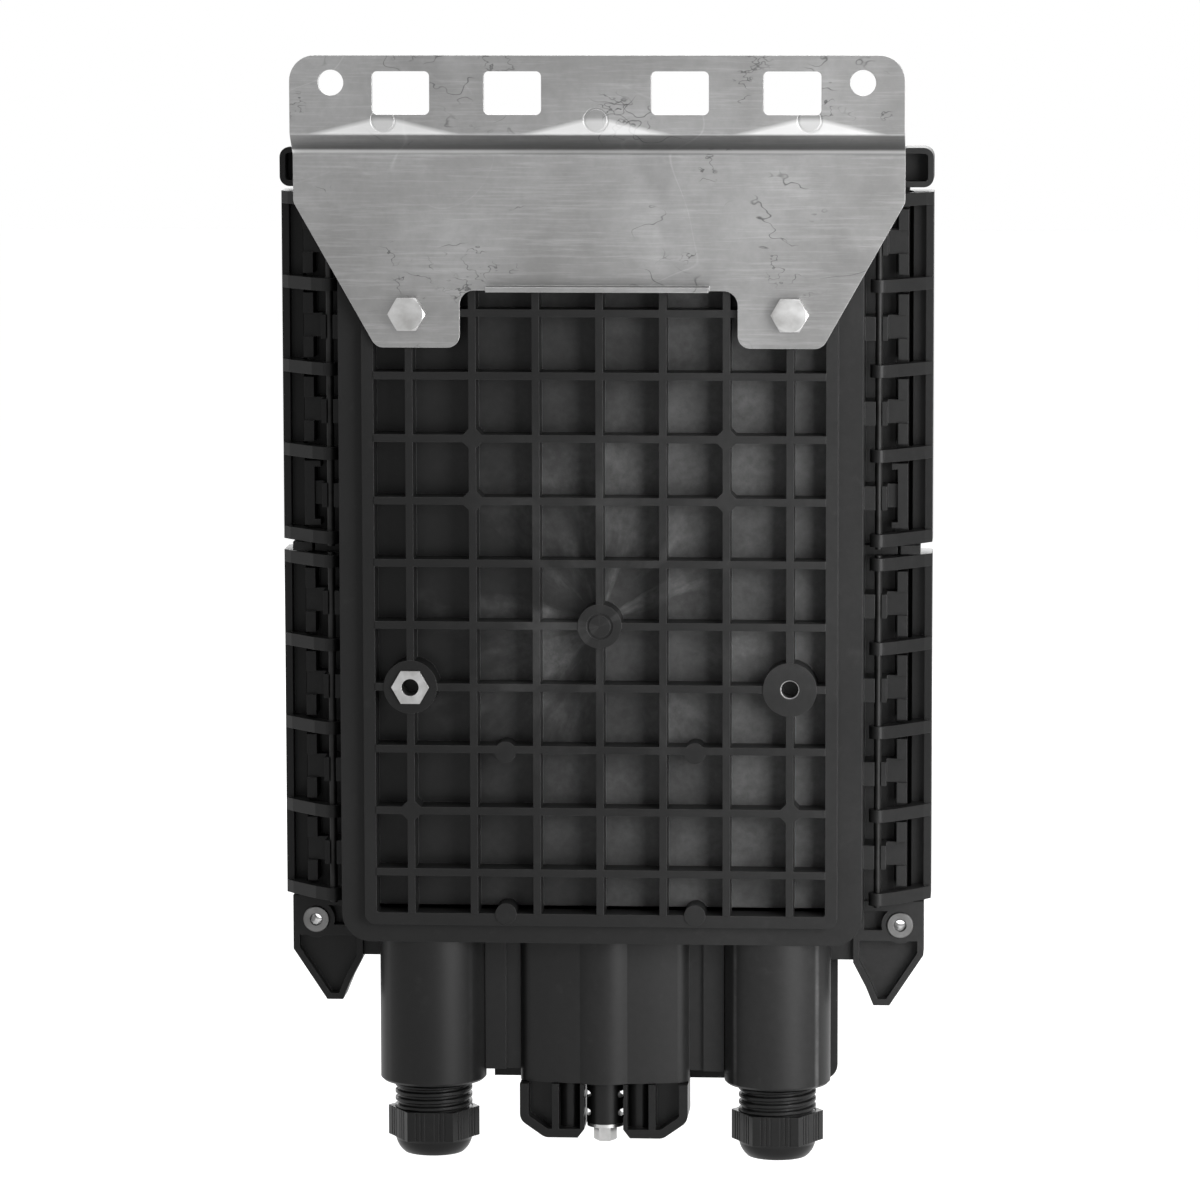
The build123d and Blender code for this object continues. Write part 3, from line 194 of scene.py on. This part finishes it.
def moulded_plastic(name, dark, pale, roughness, grain=1500.0, floor_sheen_and_flow=None):
    """Black moulded plastic: cloudy gloss, fine grain, pale dust, painted shade that deepens towards +X,
    painted edge highlights, and where given a painted floor sheen with flow marks round a gate.
    """
    f = Finish(name, specular=0.17, edge=0.35 * MM)
    clouds = f.noise(9.0, 4.0)
    dust = f.noise(140.0, 6.0, 0.65)
    tone = f.blend(f.spread(clouds, 0.35, 0.65), grey(dark), grey(pale))
    specks = f.spread(dust, 0.6, 0.78, 0.0, 0.4)
    tone = f.blend(specks, tone, grey(pale * 2.2))
    rough = f.spread(clouds, 0.3, 0.7, roughness - 0.05, roughness + 0.07)
    if floor_sheen_and_flow:
        tone, rough = floor_sheen_and_flow(f, tone, rough)
    # painted shade: every moulded plastic is darkened towards +X, up to half way to black, following light
    # that falls unevenly
    tone = f.blend(f.spread(f.axis("X"), -0.1, 0.07, 0.0, 0.5), tone, grey(0.0))
    mottle = f.noise(330.0, 5.0, 0.7)
    tone = f.blend(f.spread(mottle, 0.35, 0.65, 0.0, 0.3), tone, grey(dark * 0.4))
    # painted highlight along the softened edges
    tone = f.blend(f.math("MULTIPLY", f.painted_edge_highlight, 0.4), tone, grey(pale * 4.0))
    f.colour(tone)
    f.roughness(rough)
    f.bump(f.noise(grain, 2.0), 0.10, 0.05 * MM)
    f.bump(mottle, 0.2, 0.08 * MM)
    f.bump(f.noise(60.0, 2.0), 0.10, 0.4 * MM)
    return f.done()


# Places of the back: where the bracket's fold starts, its punch marks, the moulding gate, the cell floors
FOLD_TOP = -20.0 * MM
FOLD_FOOT = FOLD_TOP - 4.8 * MM
PUNCH_X = 83.0 * MM
PUNCH_Z = -14.5 * MM
GATE_Z = -214.1 * MM
FLOOR_DEPTH = 25.0 * MM


def floor_sheen_and_flow_marks(f, tone, rough):
    """Floors between the ribs, made glossier and painted lighter as a sheen that is strongest towards -X
    and swirled, with silvery wedges that run outward from the gate.
    """
    x = f.axis("X")
    z = f.math("SUBTRACT", f.axis("Z"), GATE_Z)
    depth = f.math("ABSOLUTE", f.math("ADD", f.axis("Y"), FLOOR_DEPTH))
    floor = f.spread(depth, 0.3 * MM, 1.2 * MM, 1.0, 0.0)
    # painted sheen: the floors are painted lighter towards -X, where the light falls on them
    side = f.spread(x, -0.045, 0.07, 1.0, 0.0)
    swirl = f.noise(26.0, 6.0, 0.62, vector=f.warped(0.03))
    # painted sheen on the floors, swirled between two pale greys
    sheen = f.math("MULTIPLY", floor, f.math("ADD", f.math("MULTIPLY", side, 0.8), 0.06))
    tone = f.blend(sheen, tone, f.blend(f.spread(swirl, 0.38, 0.62), grey(srgb(72)), grey(srgb(98))))
    radius = f.math("SQRT", f.math("ADD", f.square(x), f.square(z)))
    ray = f.node("ShaderNodeCombineXYZ")
    f.put(ray.inputs["X"], f.math("DIVIDE", x, radius))
    f.put(ray.inputs["Y"], f.math("DIVIDE", z, radius))
    f.put(ray.inputs["Z"], f.math("MULTIPLY", radius, 9.0))
    wedges = f.spread(f.noise(1.6, 5.0, 0.6, vector=ray.outputs[0]), 0.5, 0.66)
    blotch = f.spread(f.noise(45.0, 6.0, 0.7, vector=f.warped(0.02)), 0.42, 0.62)
    fade = f.spread(radius, 0.012, 0.1, 1.0, 0.0)
    amount = f.math("MULTIPLY", wedges, f.math("ADD", f.math("MULTIPLY", blotch, 0.6), 0.4))
    amount = f.math("MULTIPLY", amount, fade)
    amount = f.math("MULTIPLY", amount, f.math("ADD", f.math("MULTIPLY", floor, 0.75), 0.2))
    rough = f.math("SUBTRACT", rough, f.math("MULTIPLY", floor, 0.06))
    return f.blend(amount, tone, grey(srgb(140))), rough


def hairline(f, field, width, gate, low, high):
    """Thin curling lines where a noise crosses its middle, kept only where another one is high."""
    near = f.spread(f.math("ABSOLUTE", f.math("SUBTRACT", field, 0.5)), 0.0, width, 1.0, 0.0)
    return f.math("MULTIPLY", near, f.spread(gate, low, high))


# Dark scratches in three sizes: scale, width, place in the pattern, and how rare
SCRATCHES = ((30.0, 0.006, 11.0, 0.57), (70.0, 0.012, 17.0, 0.6), (12.0, 0.0022, 7.0, 0.56))


def sheet_steel(name):
    """Satin sheet: rolled grain, clouds, dark curling scratches, painted shade and highlights at the fold
    and the punch marks, and painted edge highlights.
    """
    f = Finish(name, metallic=1.0, edge=0.3 * MM)
    x, z = f.axis("X"), f.axis("Z")
    clouds = f.noise(14.0, 5.0, 0.6)
    mottle = f.noise(260.0, 5.0, 0.7)
    tone = f.blend(f.spread(clouds, 0.35, 0.65), grey(0.225, (1.0, 0.995, 0.985)), grey(0.29))
    tone = f.blend(f.spread(mottle, 0.35, 0.65, 0.0, 0.25), tone, grey(0.17))
    grain = f.noise(30.0, 5.0, 0.75, vector=f.mapped((1.0, 1.0, 26.0), (0.0, 0.03, 0.0)))
    tone = f.blend(f.spread(grain, 0.5, 0.75, 0.0, 0.45), tone, grey(0.42))
    smudge = f.noise(22.0, 3.0, 0.5, vector=f.warped(0.02))
    tone = f.blend(f.spread(smudge, 0.6, 0.7, 0.0, 0.28), tone, grey(0.15))
    for scale, width, place, low in SCRATCHES:
        flat = f.mapped((1.0, 1.0, 1.7), (0.0, 0.2, 0.0), (place, 0.0, place))
        field = f.noise(scale, 3.0, 0.6, vector=flat)
        mark = hairline(f, field, width, f.noise(place * 2.5, 2.0), low, low + 0.05)
        tone = f.blend(f.math("MULTIPLY", mark, 0.85), tone, grey(0.06))
    field = f.noise(9.0, 2.0, 0.5, vector=f.mapped(shift=(3.0, 0.0, 5.0)))
    pale = hairline(f, field, 0.002, clouds, 0.5, 0.56)
    tone = f.blend(f.math("MULTIPLY", pale, 0.15), tone, grey(0.6))
    # painted highlight where the metal swells beside each punch mark, just above the fold; the swelling
    # itself is not modelled
    for place in (-PUNCH_X, 0.0, PUNCH_X):
        away = f.math("ABSOLUTE", f.math("SUBTRACT", x, place))
        top = f.spread(away, 3.0 * MM, 30.0 * MM, FOLD_TOP + 6.5 * MM, FOLD_TOP)
        painted_swell_highlight = f.spread(f.math("SUBTRACT", top, z), -0.3 * MM, 1.6 * MM)
        painted_swell_highlight = f.math("MULTIPLY", painted_swell_highlight, f.spread(z, FOLD_TOP - 0.4 * MM, FOLD_TOP + 0.4 * MM))
        ring = f.math("ADD", f.square(away), f.square(f.math("SUBTRACT", z, PUNCH_Z)))
        tone = f.blend(f.math("MULTIPLY", painted_swell_highlight, 0.6), tone, grey(0.8))
        # painted shade: the disc inside each punch mark is painted darker
        tone = f.blend(f.spread(ring, 19.0e-6, 25.0e-6, 0.3, 0.0), tone, grey(0.16))
    # painted shade: the fold's slope turns dark towards its foot, with a painted highlight line below
    painted_slope_shade = f.spread(z, FOLD_TOP, FOLD_FOOT, 0.0, 0.7)
    painted_slope_shade = f.math("MULTIPLY", painted_slope_shade, f.spread(z, FOLD_FOOT - 1.6 * MM, FOLD_FOOT - 1.0 * MM))
    tone = f.blend(painted_slope_shade, tone, grey(0.07))
    below = f.math("ABSOLUTE", f.math("SUBTRACT", z, FOLD_FOOT - 2.4 * MM))
    painted_fold_highlight = f.spread(below, 0.3 * MM, 1.0 * MM, 0.8, 0.0)
    tone = f.blend(painted_fold_highlight, tone, grey(0.75))
    # painted highlight along the softened edges
    tone = f.blend(f.math("MULTIPLY", f.painted_edge_highlight, 0.6), tone, grey(0.8))
    f.colour(tone)
    f.roughness(f.spread(clouds, 0.3, 0.7, 0.34, 0.46))
    f.bump(grain, 0.15, 0.05 * MM)
    f.bump(mottle, 0.12, 0.04 * MM)
    return f.done()


def bright_steel(name, tone_low, tone_high, roughness, turned=None):
    """Plain steel, with turning rings round an axis where that is given."""
    f = Finish(name, metallic=1.0, edge=0.25 * MM)
    clouds = f.noise(120.0, 4.0, 0.6)
    f.colour(f.blend(f.spread(clouds, 0.3, 0.7), grey(tone_low, (1.0, 0.99, 0.97)), grey(tone_high)))
    f.roughness(f.spread(clouds, 0.3, 0.7, roughness - 0.05, roughness + 0.08))
    f.bump(f.noise(1800.0, 2.0), 0.1, 0.03 * MM)
    if turned:
        lines = f.noise(1.0, 2.0, 0.6, vector=f.mapped(turned))
        f.bump(lines, 0.12, 0.05 * MM)
    return f.done()


def rubber(name):
    f = Finish(name, specular=0.35)
    f.colour(f.blend(f.spread(f.noise(60.0, 4.0), 0.35, 0.7), grey(0.010), grey(0.022)))
    f.roughness(f.spread(f.noise(200.0), 0.3, 0.7, 0.62, 0.8))
    f.bump(f.noise(900.0, 3.0), 0.2, 0.05 * MM)
    return f.done()


def pale_plastic(name, low, high, roughness=0.35):
    f = Finish(name, edge=0.3 * MM)
    f.colour(f.blend(f.spread(f.noise(18.0, 4.0), 0.3, 0.7), low, high))
    f.roughness(f.spread(f.noise(50.0), 0.3, 0.7, roughness - 0.06, roughness + 0.08))
    f.bump(f.noise(700.0, 2.0), 0.08, 0.05 * MM)
    f.shader.inputs["Subsurface Weight"].default_value = 0.05
    return f.done()


def clear_plastic(name):
    f = Finish(name)
    f.colour(f.blend(f.spread(f.noise(12.0, 3.0), 0.3, 0.7), (0.86, 0.9, 0.92, 1), (0.94, 0.96, 0.97, 1)))
    f.roughness(f.spread(f.noise(40.0), 0.3, 0.7, 0.08, 0.2))
    f.shader.inputs["Transmission Weight"].default_value = 0.9
    f.bump(f.noise(30.0, 2.0), 0.1, 0.2 * MM)
    return f.done()


def woven(name):
    """Black hook and loop webbing: threads both ways with a fuzzy pile."""
    f = Finish(name, specular=0.2)
    threads = []
    for turn in ((0.0, 0.0, 0.0), (0.0, math.pi / 2, 0.0)):
        wave = f.node("ShaderNodeTexWave", wave_type="BANDS", bands_direction="X")
        f.put(wave.inputs["Vector"], f.mapped((1, 1, 1), turn))
        wave.inputs["Scale"].default_value = 420.0
        wave.inputs["Distortion"].default_value = 0.6
        threads.append(wave.outputs["Fac"])
    weave = f.math("MULTIPLY", *threads)
    f.colour(f.blend(weave, grey(0.012), grey(0.05)))
    f.roughness(f.spread(weave, 0.0, 1.0, 0.95, 0.75))
    f.bump(weave, 0.5, 0.2 * MM)
    f.bump(f.noise(1500.0), 0.3, 0.1 * MM)
    f.shader.inputs["Sheen Weight"].default_value = 0.3
    return f.done()


DARK, PALE = srgb(30), srgb(40)
back_plastic = moulded_plastic("back_plastic", DARK, PALE, 0.42, floor_sheen_and_flow=floor_sheen_and_flow_marks)
shell_plastic = moulded_plastic("shell_plastic", DARK, PALE, 0.42)
latch_plastic = moulded_plastic("latch_plastic", srgb(22), srgb(30), 0.4)
fitting_plastic = moulded_plastic("fitting_plastic", srgb(22), srgb(32), 0.36, grain=2200.0)
bracket_steel = sheet_steel("bracket_steel")
bolt_steel = bright_steel("bolt_steel", 0.34, 0.5, 0.34)
insert_metal = bright_steel("insert_metal", 0.26, 0.42, 0.34)
bushing_metal = bright_steel("bushing_metal", 0.1, 0.17, 0.4)
rod_steel = bright_steel("rod_steel", 0.015, 0.03, 0.5, turned=(60.0, 60.0, 900.0))
screw_steel = bright_steel("screw_steel", 0.5, 0.64, 0.28)
seal_rubber = rubber("seal_rubber")
tray_plastic = pale_plastic("tray_plastic", (0.62, 0.63, 0.61, 1), (0.72, 0.73, 0.71, 1))
holder_plastic = pale_plastic("holder_plastic", (0.30, 0.33, 0.36, 1), (0.38, 0.41, 0.44, 1), 0.5)
lid_plastic = clear_plastic("lid_plastic")
strap_fabric = woven("strap_fabric")

WEARS = {
    "mounting_bracket": bracket_steel,
    "bracket_bolt": bolt_steel,
    "threaded_insert": insert_metal,
    "base_shell": back_plastic,
    "ear_bushing": bushing_metal,
    "cover_gasket": seal_rubber,
    "latch": latch_plastic,
    "hinge_rod": rod_steel,
    "cover_shell": shell_plastic,
    "gland_seal": seal_rubber,
    "gland": fitting_plastic,
    "oval_port_seal": seal_rubber,
    "oval_port_plug": seal_rubber,
    "oval_port_nut": bolt_steel,
    "oval_port_washer": bolt_steel,
    "oval_port_bolt": bolt_steel,
    "oval_port": fitting_plastic,
    "tray_carrier": tray_plastic,
    "carrier_screws": screw_steel,
    "splice_tray": tray_plastic,
    "splice_holder": holder_plastic,
    "tray_lid": lid_plastic,
    "tray_strap": strap_fabric,
    "strength_clamp": screw_steel,
    "clamp_screw": screw_steel,
}


def dress(obj, material):
    obj.data.materials.clear()
    obj.data.materials.append(material)


for node_name, obj in nodes.items():
    start = max((key for key in WEARS if node_name.startswith(key)), key=len)
    dress(obj, WEARS[start])


# Gland bodies with their coarse thread, which stand for the plain ones of the frame

THREAD_DIA = 31.0 * MM
THREAD_PITCH = 2.9 * MM
THREAD_DEPTH = 1.3 * MM
THREAD_FADE = 1.2 * MM
FLANGE_THICKNESS = 3.0 * MM
TUBE_HOLD = 14.0 * MM
GLAND_BORE = 21.0 * MM
SEAL_ROOM = 0.05 * MM
THREAD_STEPS = 96
RINGS_PER_TURN = 14


def thread_height(turns):
    """Height of a trapezoid thread, 0 to 1, over one turn."""
    t = turns % 1.0
    return min(max((0.5 - abs(t - 0.5) - 0.14) / 0.16, 0.0), 1.0)


def lathe_rings(rings, name):
    """A closed shell from rings of points, each ring joined to the next and the last to the first."""
    count = len(rings[0])
    points = [p for ring in rings for p in ring]
    faces = []
    for i in range(len(rings)):
        j = (i + 1) % len(rings)
        for k in range(count):
            m = (k + 1) % count
            faces.append((i * count + k, i * count + m, j * count + m, j * count + k))
    mesh = bpy.data.meshes.new(name)
    mesh.from_pydata(points, [], faces)
    mesh.validate()
    made = bpy.data.objects.new(name, mesh)
    bpy.context.scene.collection.objects.link(made)
    return made


def threaded_gland(side):
    """The gland body of one side, with a helical thread below the tube's end."""
    low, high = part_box(f"gland_body_{side}")
    seal_low, seal_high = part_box(f"gland_seal_{side}")
    centre = (low + high) / 2
    outer = THREAD_DIA / 2
    flange_radius = (high.x - low.x) / 2
    seat = high.z - FLANGE_THICKNESS
    seal_radius = (seal_high.x - seal_low.x) / 2 + SEAL_ROOM
    bore_radius = GLAND_BORE / 2
    plain_start = seat - TUBE_HOLD
    start = low.z + 0.6 * MM
    end = plain_start - 0.4 * MM

    def ring(radius, z):
        turn = [2 * math.pi * k / THREAD_STEPS for k in range(THREAD_STEPS)]
        return [(centre.x + radius * math.cos(a), centre.y + radius * math.sin(a), z) for a in turn]

    def thread_ring(z):
        made = []
        fade = min(max(min(z - start, end - z) / THREAD_FADE, 0.0), 1.0)
        for k in range(THREAD_STEPS):
            height = thread_height((z - start) / THREAD_PITCH - k / THREAD_STEPS)
            radius = outer - THREAD_DEPTH * (1.0 - height * fade)
            a = 2 * math.pi * k / THREAD_STEPS
            made.append((centre.x + radius * math.cos(a), centre.y + radius * math.sin(a), z))
        return made

    steps = int((end - start) / THREAD_PITCH * RINGS_PER_TURN)
    rings = [ring(outer - THREAD_DEPTH - 0.5 * MM, low.z)]
    rings += [thread_ring(start + (end - start) * i / steps) for i in range(steps + 1)]
    rings += [ring(outer, plain_start), ring(outer, seat)]
    rings += [ring(flange_radius, seat), ring(flange_radius, high.z)]
    rings += [ring(bore_radius, high.z), ring(bore_radius, seal_high.z)]
    rings += [ring(seal_radius, seal_high.z), ring(seal_radius, low.z)]
    made = lathe_rings(rings, f"threaded_gland_{side}")
    dress(made, fitting_plastic)
    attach(made, "closure")
    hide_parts(f"gland_body_{side}")


for side in SIDES:
    threaded_gland(side)


# Camera: behind the object, a little to the photograph's right and above its middle

PHOTO_SIDE = 1200
SENSOR = 36.0
GRID_PLANE_Y = -12.5 * MM
MM_PER_PIXEL = 0.3937
CAMERA_X = -174.5 * MM
CAMERA_Z = 98.5 * MM
CAMERA_DISTANCE = 2381.0 * MM
AIM = Vector((-0.2 * MM, GRID_PLANE_Y, -203.6 * MM))

camera_data = bpy.data.cameras.new("photo_camera")
camera_data.sensor_width = SENSOR
camera_place = Vector((CAMERA_X, GRID_PLANE_Y + CAMERA_DISTANCE, CAMERA_Z))
sight = AIM - camera_place
camera_data.lens = SENSOR * sight.length / (PHOTO_SIDE * MM_PER_PIXEL * MM)
camera = bpy.data.objects.new("photo_camera", camera_data)
bpy.context.scene.collection.objects.link(camera)
camera.location = camera_place
ROLL = math.radians(-0.13)
upright = sight.to_track_quat("-Z", "Y").to_matrix()
camera.rotation_euler = (upright @ Matrix.Rotation(ROLL, 3, "Z")).to_euler()
camera_data.clip_start = 0.05
camera_data.clip_end = 20.0
bpy.context.scene.camera = camera


# Light: a near lamp on the photograph's right, a faint one on its left, broad ones above and in front


def lamp(name, place, aim, size, power):
    data = bpy.data.lights.new(name, "AREA")
    data.shape = "RECTANGLE"
    data.size, data.size_y = size
    data.energy = power
    made = bpy.data.objects.new(name, data)
    made.location = place
    made.rotation_euler = (Vector(aim) - Vector(place)).to_track_quat("-Z", "Y").to_euler()
    bpy.context.scene.collection.objects.link(made)


MIDDLE = (0.0, -0.06, -0.22)
lamp("lamp_right", (-0.6, 0.62, -0.16), MIDDLE, (0.5, 0.8), 14.0)
lamp("lamp_left", (1.6, 1.2, 0.3), MIDDLE, (1.2, 1.4), 1.5)
lamp("lamp_top", (0.0, 0.3, 1.6), MIDDLE, (1.6, 1.2), 14.0)
lamp("lamp_front", (0.3, -1.8, 0.6), MIDDLE, (1.6, 1.4), 22.0)


def seen_plainly(tree):
    """1 for rays from the camera, off mirrors and through glass, 0 for the rays that light the object."""
    rays = tree.nodes.new("ShaderNodeLightPath")
    value = rays.outputs["Is Camera Ray"]
    for name in ("Is Glossy Ray", "Is Transmission Ray"):
        most = tree.nodes.new("ShaderNodeMath")
        most.operation = "MAXIMUM"
        tree.links.new(value, most.inputs[0])
        tree.links.new(rays.outputs[name], most.inputs[1])
        value = most.outputs[0]
    return value


def scaled(tree, value, at_zero, at_one):
    made = tree.nodes.new("ShaderNodeMapRange")
    made.inputs["To Min"].default_value = at_zero
    made.inputs["To Max"].default_value = at_one
    tree.links.new(value, made.inputs["Value"])
    return made.outputs["Result"]


# World: plain white where it shows, and dimmer as a light
WORLD_LEVEL = 0.18
world = bpy.data.worlds.new("studio")
bpy.context.scene.world = world
world.use_nodes = True
ambient = world.node_tree.nodes["Background"]
ambient.inputs["Color"].default_value = (1.0, 1.0, 1.0, 1.0)
tree = world.node_tree
tree.links.new(scaled(tree, seen_plainly(tree), WORLD_LEVEL, 1.0), ambient.inputs["Strength"])

# Floor: just below the ports, white where it shows, with the object's shadow left on it
FLOOR_Z = cad_box[0].z - 0.02
FLOOR_GLOW = 0.85
REACH = 6.0
floor_mesh = bpy.data.meshes.new("floor")
corners = [(x * REACH, y * REACH, FLOOR_Z) for x, y in ((-1, -1), (1, -1), (1, 1), (-1, 1))]
floor_mesh.from_pydata(corners, [], [(0, 1, 2, 3)])
floor = bpy.data.objects.new("floor", floor_mesh)
bpy.context.scene.collection.objects.link(floor)
floor_finish = bpy.data.materials.new("floor_white")
floor_finish.use_nodes = True
floor_shader = floor_finish.node_tree.nodes["Principled BSDF"]
floor_shader.inputs["Base Color"].default_value = (0.45, 0.45, 0.45, 1.0)
floor_shader.inputs["Roughness"].default_value = 0.9
floor_shader.inputs["Emission Color"].default_value = (1.0, 1.0, 1.0, 1.0)
tree = floor_finish.node_tree
tree.links.new(scaled(tree, seen_plainly(tree), 0.0, FLOOR_GLOW), floor_shader.inputs["Emission Strength"])
dress(floor, floor_finish)

bpy.context.scene.view_settings.view_transform = "Standard"
